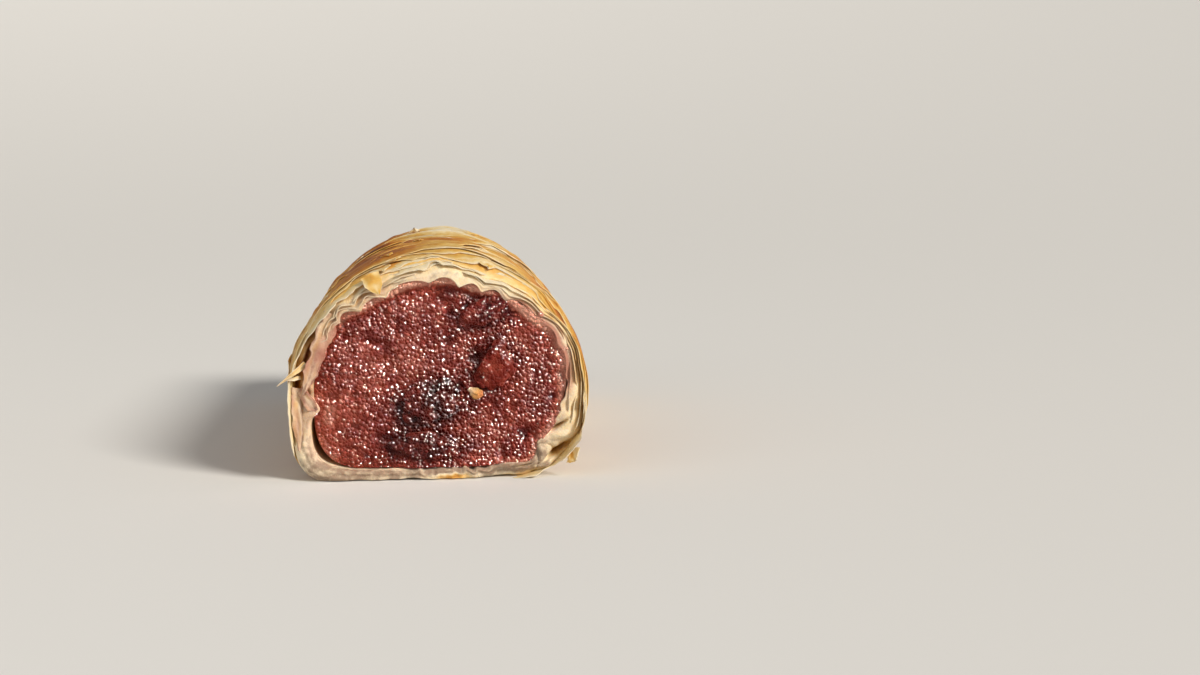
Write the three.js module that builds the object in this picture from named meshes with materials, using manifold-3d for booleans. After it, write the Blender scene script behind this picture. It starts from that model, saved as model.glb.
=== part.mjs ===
// Cut half of a cherry strudel: a sleeve of flaky leaf pastry round a soft cherry filling.
// Millimetres, +Z up. The roll lies along Y on its flat base, with the shown cut end at -Y.
import * as THREE from 'three';
import { mergeVertices } from 'three/addons/utils/BufferGeometryUtils.js';
import Module from 'manifold-3d';

const wasm = await Module();
wasm.setup();

// Roll: overall sizes
const ROLL_LENGTH = 120;
const ROLL_WIDTH = 65;
const CROWN_HEIGHT = 49.7;
const WIDEST_HEIGHT = 19.5; // height at which the flanks stand furthest apart
const CROWN_POWER = 1.9; // roundness of the dome: 2 is an ellipse, more is squarer
const LEFT_HEEL_POWER = 5.4;
const RIGHT_HEEL_POWER = 3.0;
const BASE_PRESS = 1.3; // how far the weight flattens the underside
const CUT_SAG = 2.7; // the knife presses the crown down by this much at each cut
const CUT_PINCH = 0.5; // and draws each flank in by this much
const SAG_REACH = 7; // length over which the pressed end swells to full size

// Sleeve: thickness of the pastry round the filling
const WALL_TOP = 3.5;
const WALL_LEFT = 5.0;
const WALL_RIGHT = 5.5;
const WALL_BASE = 3.8;
const FOLD_EXTRA = 1.6; // the leaf ends are tucked in a thick fold at the lower right
const FOLD_ANGLE = -0.5;
const FOLD_SPREAD = 0.28;
const THIN_LOSS = 2.6; // the filling presses the sleeve thin on the right flank
const THIN_ANGLE = 0.4;
const THIN_SPREAD = 0.42;
const CORNER_LOSS = 2.6; // and fills the corner at the lower right
const CORNER_ANGLE = -0.68;
const CORNER_SPREAD = 0.13;
const SHOULDER_LOSS = 1.4; // and bulges at the upper left
const SHOULDER_ANGLE = 2.49;
const SHOULDER_SPREAD = 0.11;
const SCALLOP_DEPTH = 0.55; // wavy inner lip of the pastry at a cut
const SCALLOP_COUNT = 13;
const SCALLOP_DRIFT = 2; // how unevenly the waves are spaced
const LIP_REACH = 3; // length over which the lip runs out into the plain bore
const RIM_LAYER_DEPTH = 0.9; // how deep the gaps between leaves show in a cut rim
const RIM_GAP = 0.5; // where in the rim's thickness that gap lies
const RIM_WANDER = 0.9; // a cut rim strays this far from its plane
const RIM_REACH = 4; // length over which the straying dies out

// Leaves: torn sheets that overlap like shingles, their free edges towards the nearer cut
const LEAF_COUNT = 11;
const LEAF_LIFT = 1.5; // most height of a free edge above the sheet below it
const LEAF_WANDER = 3.6; // how far a torn edge strays along the roll
const LEAF_EDGE = 0.03; // slant of a torn edge, as a share of the leaf's length
const WRINKLE = 0.4; // wrinkles that run round the roll
const WRINKLE_PITCH = 12;
const WRINKLE_DRIFT = 5; // how far they bend, in turns of the wave's phase

// Scraps: small flakes that stand off the leaves
const SCRAP_COUNT = 12;
const SCRAP_THICK = 0.7;
const SCRAP_ROOT = 1.4; // a scrap's root is sunk this far into the sleeve
const SCRAP_WANDER = 0.35; // how far its torn edge strays, as a share of its length

// Filling: soft core that runs through the sleeve
const FILLING_GAP = 0.35;
const FILLING_RECESS = 1.1; // the soft face lies this far behind the cut rim
const FACE_LUMP = 0.7;
const CREVICE_DEPTH = 1.3; // the filling has shrunk off the sleeve at the lower left
const CREVICE_ANGLE = 3.55;
const CREVICE_SPREAD = 0.42;
const CREVICE_REACH = 10;
const FACE_ROUNDING = 1.4; // the soft edge of the face rolls back by this much

// Cherries: halves and torn pieces that the knife laid open
const CHERRY_GAP = 0.35;
const CHERRY_DOME = 1.5; // the opened side of a piece swells this far out of the soft face
const CHERRY_CREASE = 0.5; // share of that swelling lost at the crease
const CREASE_PLACE = 0.2; // where the crease lies and how wide it is, as shares of the radius
const CREASE_WIDTH = 0.25;
const CHERRY_TEAR = 0.1; // unevenness of its outline, as a share of the radius

// Facets
const ROUND_STEPS = 56;
const BORE_STEPS = 5;
const FACE_RINGS = 7;
const GRID = 0.01; // every vertex lies on a grid this fine

const HALF_LENGTH = ROLL_LENGTH / 2;

// Seeded random numbers, so that every build is the same
function makeRandom(seed) {
  let state = seed;
  return (low = 0, high = 1) => {
    state = (state * 1664525 + 1013904223) % 4294967296;
    return low + (high - low) * (state / 4294967296);
  };
}

const mix = (a, b, t) => a + (b - a) * t;
const smooth = (t) => {
  const s = Math.min(1, Math.max(0, t));
  return s * s * (3 - 2 * s);
};

// 1 at an angle, falling to 0 a few spreads away, the short way round
function bump(angle, centre, spread) {
  const away = Math.atan2(Math.sin(angle - centre), Math.cos(angle - centre));
  return Math.exp(-((away / spread) ** 2));
}

// A wavy line round the roll, from a few sines with seeded phases
function makeWobble(random, turns) {
  const phases = turns.map(() => random(0, 2 * Math.PI));
  return (angle) => turns.reduce((sum, n, i) => sum + Math.sin(n * angle + phases[i]) / turns.length, 0);
}

const nearCut = (y) => Math.exp(-(HALF_LENGTH - Math.abs(y)) / SAG_REACH);

// Smooth body of the roll: distance from the section's centre to the outside
function bodyRadius(angle, y) {
  const across = Math.cos(angle);
  const up = Math.sin(angle);
  const halfWidth = ROLL_WIDTH / 2 - CUT_PINCH * nearCut(y);
  const crown = CROWN_HEIGHT - CUT_SAG * nearCut(y) - WIDEST_HEIGHT;
  const rise = up >= 0 ? crown : WIDEST_HEIGHT + BASE_PRESS;
  const heel = across < 0 ? LEFT_HEEL_POWER : RIGHT_HEEL_POWER;
  const power = up >= 0 ? CROWN_POWER : heel;
  return ((Math.abs(across) / halfWidth) ** power + (Math.abs(up) / rise) ** power) ** (-1 / power);
}

// Thickness of the pastry sleeve
function wall(angle) {
  const up = Math.sin(angle);
  const side = Math.cos(angle) < 0 ? WALL_LEFT : WALL_RIGHT;
  const plain = mix(side, up > 0 ? WALL_TOP : WALL_BASE, up * up);
  const fold = FOLD_EXTRA * bump(angle, FOLD_ANGLE, FOLD_SPREAD);
  const thin = THIN_LOSS * bump(angle, THIN_ANGLE, THIN_SPREAD);
  const corner = CORNER_LOSS * bump(angle, CORNER_ANGLE, CORNER_SPREAD);
  const shoulder = SHOULDER_LOSS * bump(angle, SHOULDER_ANGLE, SHOULDER_SPREAD);
  return plain + fold - thin - corner - shoulder;
}

// 0 under the roll, where it lies flat, and 1 on the flanks and crown
const shownShare = (angle) => smooth((Math.sin(angle) + 0.65) / 0.55);

const wrinkleDrift = makeWobble(makeRandom(7), [1, 2, 4]);

// Height of the wrinkles above the smooth body
function wrinkle(angle, y) {
  const phase = (2 * Math.PI * y) / WRINKLE_PITCH + WRINKLE_DRIFT * wrinkleDrift(angle);
  return WRINKLE * shownShare(angle) * Math.sin(phase);
}

const skinRadius = (angle, y) => bodyRadius(angle, y) + wrinkle(angle, y);

const leafRandom = makeRandom(31);
const leafEdges = [];
const leafLifts = [];
for (let i = 0; i <= LEAF_COUNT; i++) {
  leafEdges.push(makeWobble(leafRandom, [1, 3, 5, 9]));
  leafLifts.push(makeWobble(leafRandom, [1, 2, 4]));
}
const middleLeaf = (LEAF_COUNT - 1) / 2; // this one lies on top, and the others face away from it

// How far along the roll the torn edge between two leaves runs; the first and last edges are the cuts
function edgeLine(edge, angle) {
  const plain = mix(-HALF_LENGTH, HALF_LENGTH, edge / LEAF_COUNT);
  const cut = edge === 0 || edge === LEAF_COUNT;
  return cut ? plain : plain + LEAF_WANDER * leafEdges[edge](angle);
}

// Height of a torn edge, which lies flat in places
function edgeLift(edge, angle) {
  if (edge === 0 || edge === LEAF_COUNT) return 0;
  return LEAF_LIFT * shownShare(angle) * smooth(0.45 + leafLifts[edge](angle));
}

// Outside of the sleeve at a share of one leaf's length: how far along, and how far out
function leafPoint(leaf, share, angle) {
  const y = mix(edgeLine(leaf, angle), edgeLine(leaf + 1, angle), share);
  const front = leaf <= middleLeaf ? edgeLift(leaf, angle) * (1 - share) : 0;
  const back = leaf >= middleLeaf ? edgeLift(leaf + 1, angle) * share : 0;
  return { y, radius: skinRadius(angle, y) + front + back };
}

// Bore of the sleeve: plain inside, scalloped at the cut lips
function boreRadius(angle, y) {
  const lip = Math.exp(-(HALF_LENGTH - Math.abs(y)) / LIP_REACH) * shownShare(angle);
  const phase = SCALLOP_COUNT * angle + SCALLOP_DRIFT * Math.sin(2 * angle);
  return bodyRadius(angle, y) - wall(angle) + SCALLOP_DEPTH * lip * Math.sin(phase);
}

// Point of a section from its centre, kept on or above the surface that the roll lies on
function sectionPoint(angle, radius, y) {
  const z = WIDEST_HEIGHT + radius * Math.sin(angle);
  return new THREE.Vector3(radius * Math.cos(angle), y, Math.max(0, z));
}

// Sets the vertices on the grid, joins those that meet there and drops the triangles that collapse
function weld(geometry) {
  const position = geometry.getAttribute('position');
  position.array.forEach((value, i) => (position.array[i] = Math.round(value / GRID) * GRID));
  const welded = mergeVertices(geometry, GRID / 10);
  const index = welded.index.array;
  const kept = [];
  for (let i = 0; i < index.length; i += 3) {
    const [a, b, c] = index.slice(i, i + 3);
    if (a !== b && b !== c && c !== a) kept.push(a, b, c);
  }
  return welded.setIndex(kept);
}

// Moves each vertex of a stock geometry and leaves one welded, closed surface
function reshape(geometry, place) {
  geometry.deleteAttribute('normal');
  geometry.deleteAttribute('uv');
  const position = geometry.getAttribute('position');
  const vertex = new THREE.Vector3();
  for (let i = 0; i < position.count; i++) {
    vertex.fromBufferAttribute(position, i);
    position.setXYZ(i, ...place(vertex).toArray());
  }
  return weld(geometry);
}

function toSolid(geometry) {
  const vertProperties = new Float32Array(geometry.getAttribute('position').array);
  const triVerts = new Uint32Array(geometry.index.array);
  return new wasm.Manifold(new wasm.Mesh({ numProp: 3, vertProperties, triVerts }));
}

function toGeometry(solid) {
  const mesh = solid.getMesh();
  const geometry = new THREE.BufferGeometry();
  geometry.setAttribute('position', new THREE.BufferAttribute(mesh.vertProperties, 3));
  return geometry.setIndex(new THREE.BufferAttribute(mesh.triVerts, 1));
}

// The largest surface of a fused solid: a hollow that fusing sealed is filled, a loose scrap dropped
function soundGeometry(fused) {
  const bodies = toSolid(weld(toGeometry(fused))).decompose();
  return toGeometry(bodies.reduce((best, body) => (body.volume() > best.volume() ? body : best)));
}

// Pastry sleeve

// A turned ring in plain coordinates: the distance from the axis is 1 at the bore and 2 outside,
// and the height counts the leaves
function sleeveProfile() {
  const rimLayers = [RIM_GAP - 0.2, RIM_GAP, RIM_GAP + 0.2]; // crest, gap and crest in a cut rim
  const leafSteps = [LEAF_EDGE, 0.35, 0.7, 1 - LEAF_EDGE];
  const points = [[2, 0]];
  for (let leaf = 0; leaf < LEAF_COUNT; leaf++) {
    for (const share of leafSteps) points.push([2, leaf + share]);
  }
  points.push([2, LEAF_COUNT]);
  for (const share of [...rimLayers].reverse()) points.push([1 + share, LEAF_COUNT]);
  for (let i = BORE_STEPS; i >= 0; i--) points.push([1, (LEAF_COUNT * i) / BORE_STEPS]);
  for (const share of rimLayers) points.push([1 + share, 0]);
  points.push(points[0]);
  return points.map(([r, y]) => new THREE.Vector2(r, y));
}

const rimRandom = makeRandom(19);
const rimWobbles = [makeWobble(rimRandom, [2, 5, 9]), makeWobble(rimRandom, [2, 6, 11])];

// Turns plain ring coordinates into the pastry: section, torn leaves and layered, uneven rims
function placeSleeve(vertex) {
  const share = Math.hypot(vertex.x, vertex.z) - 1;
  const angle = Math.atan2(vertex.z, vertex.x);
  const leaf = Math.min(LEAF_COUNT - 1, Math.floor(vertex.y));
  const outside = leafPoint(leaf, vertex.y - leaf, angle);
  const plainY = mix(-HALF_LENGTH, HALF_LENGTH, vertex.y / LEAF_COUNT);
  const alongY = mix(plainY, outside.y, smooth(4 * share));
  const end = alongY < 0 ? -1 : 1;
  const atRim = smooth(1 - (HALF_LENGTH - Math.abs(alongY)) / RIM_REACH);
  const wander = RIM_WANDER * rimWobbles[end < 0 ? 0 : 1](angle);
  const gap = Math.abs(share - RIM_GAP) < 0.1 ? RIM_LAYER_DEPTH : 0;
  const radius = mix(boreRadius(angle, alongY), outside.radius, share);
  return sectionPoint(angle, radius, alongY - end * atRim * (RIM_WANDER + wander + gap));
}

// One torn scrap, rooted in the sleeve, its free edge raised towards a cut; a loose one is undercut
function makeScrap({ angle, y, width, length, lift, towards, tear, taper, loose }) {
  const plate = new THREE.BoxGeometry(1, 1, 1, 4, 1, 3);
  const root = bodyRadius(angle, y);
  return reshape(plate, ({ x, y: through, z }) => {
    const out = z + 0.5; // 0 at the root and 1 at the free edge
    const around = angle - (towards * x * width * (1 - taper * out * out)) / root;
    const free = 1 + SCRAP_WANDER * tear(6 * x);
    const along = y - towards * length * out * free;
    const inside = THREE.MathUtils.clamp(along, -HALF_LENGTH, HALF_LENGTH);
    const top = (lift + SCRAP_ROOT / 2) * out - SCRAP_ROOT / 2;
    const under = loose ? top - SCRAP_THICK : -SCRAP_ROOT;
    return sectionPoint(around, bodyRadius(around, inside) + (through > 0 ? top : under), along);
  });
}

// Where the scraps lie: named ones at the shown cut, then a scatter along the roll
function scrapPlan() {
  const front = -HALF_LENGTH;
  const random = makeRandom(46);
  const shape = (width, length, lift, taper, towards, loose) => {
    return { width, length, lift, taper, towards, loose, tear: makeWobble(random, [1, 2, 5]) };
  };
  const plan = [
    { angle: 2.15, y: front + 4.5, ...shape(7, 5, 1.4, 0.6, 1, true) }, // flake that hangs over the rim
    { angle: 2.98, y: front + 4.0, ...shape(5, 4.5, 2.2, 0.75, 1, true) }, // sliver on the left flank
    { angle: -0.3, y: front + 5.4, ...shape(8, 6, 1.8, 0.3, 1, true) }, // loose end of the fold
  ];
  for (let i = 0; i < SCRAP_COUNT; i++) {
    plan.push({
      angle: mix(0.15, Math.PI - 0.15, (i * 0.618) % 1),
      y: mix(front + 12, -front - 12, (i + random()) / SCRAP_COUNT),
      ...shape(random(7, 12), random(4, 6), random(1.6, 2.2), 0.4, i % 3 === 0 ? -1 : 1, false),
    });
  }
  return plan;
}

function makeSleeve() {
  const ring = new THREE.LatheGeometry(sleeveProfile(), ROUND_STEPS);
  let solid = toSolid(reshape(ring, placeSleeve));
  for (const scrap of scrapPlan()) solid = solid.add(toSolid(makeScrap(scrap)));
  return soundGeometry(solid);
}

// Filling

// A turned core in plain coordinates: the distance from the axis is 1 at the skin
function coreProfile() {
  const points = [];
  for (let i = 0; i <= FACE_RINGS; i++) points.push([i / FACE_RINGS, -HALF_LENGTH]);
  for (let i = 1; i < BORE_STEPS; i++) points.push([1, mix(-HALF_LENGTH, HALF_LENGTH, i / BORE_STEPS)]);
  for (let i = FACE_RINGS; i >= 0; i--) points.push([i / FACE_RINGS, HALF_LENGTH]);
  return points.map(([r, y]) => new THREE.Vector2(r, y));
}

// Uneven soft face, as a height over the section
function faceLump(x, z, end) {
  const broad = Math.sin(x / 4.1 + end) * Math.cos(z / 3.7 - 0.6 * end);
  const fine = Math.sin(x / 1.9 - z / 2.3 + 2 * end) * Math.cos(z / 1.7 + x / 5.2);
  return FACE_LUMP * (0.65 * broad + 0.35 * fine);
}

function placeCore(vertex) {
  const share = Math.hypot(vertex.x, vertex.z);
  const angle = Math.atan2(vertex.z, vertex.x);
  const end = vertex.y < 0 ? -1 : 1;
  const shrunk = CREVICE_DEPTH * bump(angle, CREVICE_ANGLE, CREVICE_SPREAD) * (end < 0 ? 1 : 0);
  const crevice = shrunk * Math.exp(-(HALF_LENGTH - Math.abs(vertex.y)) / CREVICE_REACH);
  const bore = bodyRadius(angle, vertex.y) - wall(angle) - SCALLOP_DEPTH * nearCut(vertex.y);
  const point = sectionPoint(angle, share * (bore - FILLING_GAP - crevice), vertex.y);
  if (Math.abs(vertex.y) > HALF_LENGTH - 1e-6) {
    const rounded = FACE_ROUNDING * share ** 6;
    point.y -= end * (FILLING_RECESS + rounded + FACE_LUMP + faceLump(point.x, point.z, end));
  }
  return point;
}

// Cherries: which cut, place on the section, half sizes across, deep and high, and the turn of the piece
const cherries = [
  { name: 'cherry_centre', end: -1, x: -2.0, z: 16.9, size: [6.6, 5.5, 4.9], turn: 0.25 },
  { name: 'cherry_low', end: -1, x: -2.6, z: 7.4, size: [8.2, 5.0, 3.0], turn: -0.06 },
  { name: 'cherry_upper', end: -1, x: 9.8, z: 36.6, size: [6.0, 5.0, 2.9], turn: 0.45 },
  { name: 'cherry_right', end: -1, x: 11.8, z: 25.0, size: [4.6, 4.6, 5.4], turn: -0.3 },
  { name: 'cherry_back_left', end: 1, x: -9.0, z: 24.0, size: [5.8, 5.4, 5.0], turn: 0.4 },
  { name: 'cherry_back_right', end: 1, x: 8.5, z: 13.5, size: [6.8, 5.2, 4.2], turn: -0.2 },
  { name: 'cherry_back_upper', end: 1, x: 5.0, z: 35.0, size: [4.8, 4.6, 3.4], turn: 0.1 },
];

// A pitted cherry piece: an uneven ball, opened flat at the cut, with a crease where the stone came out
function makeCherry({ end, x, z, size, turn }, growth) {
  const ball = new THREE.SphereGeometry(1, 14, 9);
  const face = HALF_LENGTH - FILLING_RECESS - FACE_LUMP;
  const lean = new THREE.Matrix4().makeRotationY(turn);
  return reshape(ball, (v) => {
    const round = Math.atan2(v.z, v.x);
    const rim = CHERRY_TEAR * (Math.sin(3 * round + size[0] + z) + 0.7 * Math.sin(5 * round + x));
    const torn = 1 + rim * Math.hypot(v.x, v.z);
    const crease = 1 - CHERRY_CREASE * Math.exp(-(((v.x - CREASE_PLACE) / CREASE_WIDTH) ** 2));
    const reach = end * v.y > 0 ? CHERRY_DOME * crease : size[1];
    const piece = new THREE.Vector3(v.x * size[0] * torn, v.y * reach, v.z * size[2] * torn);
    piece.addScaledVector(v, growth).applyMatrix4(lean);
    return piece.add(new THREE.Vector3(x, end * face, z));
  });
}

function makeFilling() {
  const core = new THREE.LatheGeometry(coreProfile(), ROUND_STEPS);
  let solid = toSolid(reshape(core, placeCore));
  for (const cherry of cherries) solid = solid.subtract(toSolid(makeCherry(cherry, CHERRY_GAP)));
  return soundGeometry(solid);
}

// Assembly

const crust = new THREE.MeshStandardMaterial({ color: 0xd9a860, roughness: 0.62, metalness: 0 });
const soft = new THREE.MeshStandardMaterial({ color: 0x93504a, roughness: 0.35, metalness: 0 });
const fruit = new THREE.MeshStandardMaterial({ color: 0x4a1416, roughness: 0.2, metalness: 0 });

function addPiece(group, name, geometry, material) {
  geometry.computeVertexNormals();
  const mesh = new THREE.Mesh(geometry, material);
  mesh.name = name;
  group.add(mesh);
}

const strudel = new THREE.Group();
addPiece(strudel, 'pastry', makeSleeve(), crust);
addPiece(strudel, 'filling', makeFilling(), soft);
for (const cherry of cherries) addPiece(strudel, cherry.name, makeCherry(cherry, 0), fruit);

// The origin is the middle of the whole piece's footprint, on the surface that it lies on
const extent = new THREE.Box3().setFromObject(strudel);
const middle = extent.getCenter(new THREE.Vector3());
const toGrid = (value) => Math.round(value / GRID) * GRID;
strudel.position.set(-toGrid(middle.x), -toGrid(middle.y), -extent.min.z);

const part = new THREE.Group();
part.add(strudel);
export default part;
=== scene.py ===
import math

import bpy
import numpy as np
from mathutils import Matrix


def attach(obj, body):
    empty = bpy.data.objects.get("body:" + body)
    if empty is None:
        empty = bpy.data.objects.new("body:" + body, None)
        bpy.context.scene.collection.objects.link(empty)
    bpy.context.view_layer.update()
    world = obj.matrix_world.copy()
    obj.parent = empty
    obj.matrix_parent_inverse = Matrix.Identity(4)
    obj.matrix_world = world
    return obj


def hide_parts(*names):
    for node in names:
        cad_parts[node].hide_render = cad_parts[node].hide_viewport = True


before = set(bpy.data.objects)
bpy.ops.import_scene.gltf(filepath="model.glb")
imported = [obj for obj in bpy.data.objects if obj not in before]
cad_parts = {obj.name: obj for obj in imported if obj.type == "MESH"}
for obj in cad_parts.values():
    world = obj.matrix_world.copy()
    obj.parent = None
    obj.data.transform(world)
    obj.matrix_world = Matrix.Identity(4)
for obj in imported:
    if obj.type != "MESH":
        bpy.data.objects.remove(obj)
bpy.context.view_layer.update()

# Sizes are in millimetres. Angles are in radians, round the roll's section from its right side upwards.
# A pitch is the distance from one wave or grain to the next, or between the random values of a field.

# Roll
MM = 0.001
ROLL_MIDDLE = np.array([-0.01, 1.1, 0.0])
ROLL_LENGTH = 120
HALF_LENGTH = ROLL_LENGTH / 2
ROLL_WIDTH = 65
CROWN_HEIGHT = 49.7
WIDEST_HEIGHT = 19.5
CROWN_POWER = 1.9
LEFT_HEEL_POWER = 5.4
RIGHT_HEEL_POWER = 3.0
BASE_PRESS = 1.3
CUT_SAG = 2.7
CUT_PINCH = 0.5
SAG_REACH = 7
# An angle times this is a length round the skin
ARC_RADIUS = 30
# First seed of each kind of thin piece
LEAF_SEED = 100
RIM_SEED = 300
FLAKE_SEED = 500
ACROSS_SEED = 600
SCRAP_SEED = 700

# Wall of the pastry sleeve
WALL_TOP = 3.5
WALL_LEFT = 5.0
WALL_RIGHT = 5.5
WALL_BASE = 3.8
FOLD_ANGLE = -0.5
FOLD_SPREAD = 0.28
FOLD_REACH = 0.4
# Thick fold and thin right side, lower right corner and upper left of the wall: change, angle, spread
WALL_CHANGES = [(1.6, FOLD_ANGLE, FOLD_SPREAD), (-2.6, 0.4, 0.42), (-2.6, -0.68, 0.13), (-1.4, 2.49, 0.11)]
CORE_COLUMNS = 380
# Rows on the outside, the front end, the bore and the back end
CORE_ROWS = (70, 26, 8, 26)

# Cut ends of the wall
RIM_RADIUS = 26
RIM_SHIFT = 200
LEFT_SOFT_ANGLE = 3.05
LIP_REACH = 2.5
LIP_DEPTH = 1.5
LIP_LEVEL = 0.6
LIP_TATTER = 0.6
# Tab that pushes into the filling and hollow below it: change of the bore, angle, spread
LIP_CHANGES = [(-1.7, 3.27, 0.05), (0.8, 3.47, 0.16)]
TOASTED_PLACE = 3.3
TOASTED_SPREAD = 4.2
# Gaps under the lower edge: place across, spread, height
SOLE_GAPS = [(-6, 2.4, 0.7), (14, 4, 1.1)]
SOLE_REACH = 3
# Gaps between layers: share of the wall, angle, half spread, depth, half width and slant in shares
SPLITS = [
    (0.78, 2.65, 0.11, 3.6, 0.13, 0.3),
    (0.6, 2.87, 0.1, 3.6, 0.11, -0.6),
    (0.8, 3.09, 0.09, 3.2, 0.11, 0.2),
    (0.48, 3.18, 0.045, 1.6, 0.2, 8),
    (0.5, 3.02, 0.05, 1.2, 0.2, -6),
    (0.62, 0.95, 0.3, 1, 0.075, 0),
    (0.72, 1.5, 0.34, 1, 0.06, 0),
    (0.58, 0.3, 0.2, 1.4, 0.075, 0),
    (0.8, 0.1, 0.25, 1.6, 0.075, 0.3),
    (0.35, 2.2, 0.16, 1, 0.075, 0),
    (0.76, -0.5, 0.13, 4, 0.11, 1.7),
    (0.15, -0.31, 0.08, 2.6, 0.07, 2.6),
    (0.3, -0.75, 0.06, 2, 0.08, -1.5),
]

# Torn leaves on the outside
LEAF_COUNT = 11
MIDDLE_LEAF = LEAF_COUNT // 2
LEAF_LIFT = 0.55
LEAF_WANDER = 3.6
WRINKLE = 0.4
WRINKLE_PITCH = 12
WRINKLE_DRIFT = 5
LEAF_THICK = 0.14
LEAF_COVER = 0.3
LEAF_SPREAD = (-0.62, math.pi + 0.66)
LEAF_GRID = (300, 26)
UNDER_GRID = (300, 10)
LEAF_BROWN = 0.54
UNDER_BROWN = 0.42
LEAST_BROWN = 0.15
LEAVES_A_PIECE = 5
# Darker and paler stretches round the crown: change of browning, angle, spread
CROWN_TONES = [(0.27, 2.1, 0.45), (-0.12, 1.15, 0.4), (0.14, 0.4, 0.4)]
# The same for the far part of the crown alone
FAR_TONES = [(-0.26, 1.5, 0.3)]

# Leaves at the cuts: share of the wall, place behind the cut, ripple, browning, stain, first and last angle
RIM_LEAVES = [
    (0.12, -0.2, 0.7, 0.13, 0.08, 1.95, 2.62),
    (0.34, 0.3, 0.7, 0.14, 0.05, 1.85, 2.72),
    (0.25, 0.6, 0.4, 0.15, 0.2, -0.2, 0.7),
    (0.45, 0.9, 0.3, 0.17, 0.05, -0.25, 1.3),
    (0.5, 1.1, 0.3, 0.16, 0.1, 1.75, 2.66),
    (0.6, 1.5, 0.2, 0.17, 0, 0.2, 2.3),
    (0.72, 2, 0.25, 0.19, 0, -0.28, 1.9),
    (0.78, 2.4, 0.25, 0.2, 0, 1.2, 2.52),
    (0.88, 3.2, 0.22, 0.26, 0, -0.1, 2.6),
    (0.96, 4.4, 0.22, 0.36, 0, -0.3, 3.25),
    (1.02, 6.4, 0.2, 0.46, 0, -0.62, 3.7),
    (0.95, 1.2, 0.3, 0.2, 0, 2.45, 3.5),
    (0.97, 0.3, 0.5, 0.18, 0, -0.85, 0),
    (0.9, 1.6, 0.3, 0.18, 0, -0.2, 0.6),
]
RIM_LEAF_LENGTH = 12
RIM_LEAF_ROWS = 14
RIM_LEAF_DENSITY = 80
RIM_OVERHANG = 1.0
# Where the leaves at the cuts are lacy: height of the crumpling, angle, spread
LACY_PLACES = [(0.8, 2.5, 0.5), (0.4, FOLD_ANGLE, FOLD_REACH)]
PALE_RIM_ANGLE = 0.95

# Loose flakes: angle, place along, half width, length, start and end slope off the skin, browning, bluntness
NAMED_FLAKES = [
    (-0.46, -57.6, 1.9, 3.4, 0.2, 1, 0.34, 2),
    (1.79, 28, 1.6, 2.2, 0.5, 1.2, 0.2, 1.3),
    (1.2, -53, 1.6, 4, 0.02, 0.12, 0.3, 2),
    (2.02, -54.5, 2.4, 3.4, 0.05, 0.2, 0.4, 2.2),
    (1.9, -52, 1.6, 2.8, 0.05, 0.25, 0.35, 1.8),
]
# Scraps across the front cut: root and tip across and up, half width, place before the cut, browning,
# bluntness, stain, thickness
ACROSS_SCRAPS = [
    ((-14.6, 45.2), (-12.6, 41), 2.1, 0.5, 0.42, 1.6, 0, 0.14),
    ((-28.4, 26), (-34.4, 21.4), 0.6, 0.4, 0.24, 1.3, 0.15, 0.14),
    ((-29.8, 22.9), (-32.6, 22.6), 0.5, 0.6, 0.22, 1.4, 0.1, 0.14),
    ((-22.6, 36.6), (-29.2, 19.2), 1.7, -0.1, 0.15, 2.6, 0.6, 0.5),
    ((-29.8, 20.4), (-26.3, 15.9), 1.3, 0.1, 0.14, 3.6, 0.55, 0.6),
    ((-30.6, 20.6), (-30.2, 7), 1.1, -0.3, 0.13, 2.4, 0.45, 0.5),
]
FLAKE_COUNT = 44
# Ranges of the scattered flakes: angle, place along, half width, length, slope, bend, browning, bluntness
FLAKE_RANGES = [
    (0.1, math.pi - 0.1), (-50, 52), (0.8, 2.6), (1.6, 4.2), (0, 0.16), (-0.15, 0.2), (0.3, 0.6), (1.2, 3.5)]
FLAKE_GRID = (12, 14)
FLAKE_STEPS = 60
SCRAP_COLUMNS = 14
SCRAP_ROOT_DEPTH = 1.4

# Filling
FILLING_GAP = 0.12
FILLING_RECESS = 1.1
FACE_LUMP = 0.7
FACE_ROUNDING = 1.4
FACE_SWELL = 0.9
FACE_SECTION = 3
FACE_SHIFT = 90
FACE_CELLS = 180
SIDE_ROWS = 10
POCKET_FILL = 1.9
CREVICE_DEPTH = 1.7
CREVICE_ANGLE = 3.65
CREVICE_SPREAD = 0.2
CREVICE_REACH = 10
FACE_JUICE = 0.46
# Dark juicy place between the cherries of the front face: place across, height, spread
DARK_PLACE = (-4, 12, 7)
# Small holes in the face: end, place across, height, radius, depth
HOLES = [
    (-1, 18.6, 9.8, 1.3, 2),
    (-1, 24.4, 18, 0.9, 1.8),
    (-1, 4.6, 20.4, 1.2, 1.4),
    (-1, -20, 31.5, 1.2, 1),
    (-1, 8, 26.5, 1.5, 1.6),
    (-1, 6.6, 38, 1.2, 1.2),
    (1, -17, 12, 1.4, 2),
    (1, 15, 28, 1.3, 1.6),
]
GRAIN_PITCH = 0.66
GRAIN_SIZE = (0.35, 0.7)
GRAIN_SHARE = 0.2
CHERRY_GRAIN_SHARE = 0.16
SKIN_GRAIN_SHARE = 0.55
NUT_PLACE = (8.0, 1.8 - HALF_LENGTH, 18.9)
NUT_SIZE = (1.3, 0.8, 1.0)
NUT_TILT = 0.5

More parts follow.
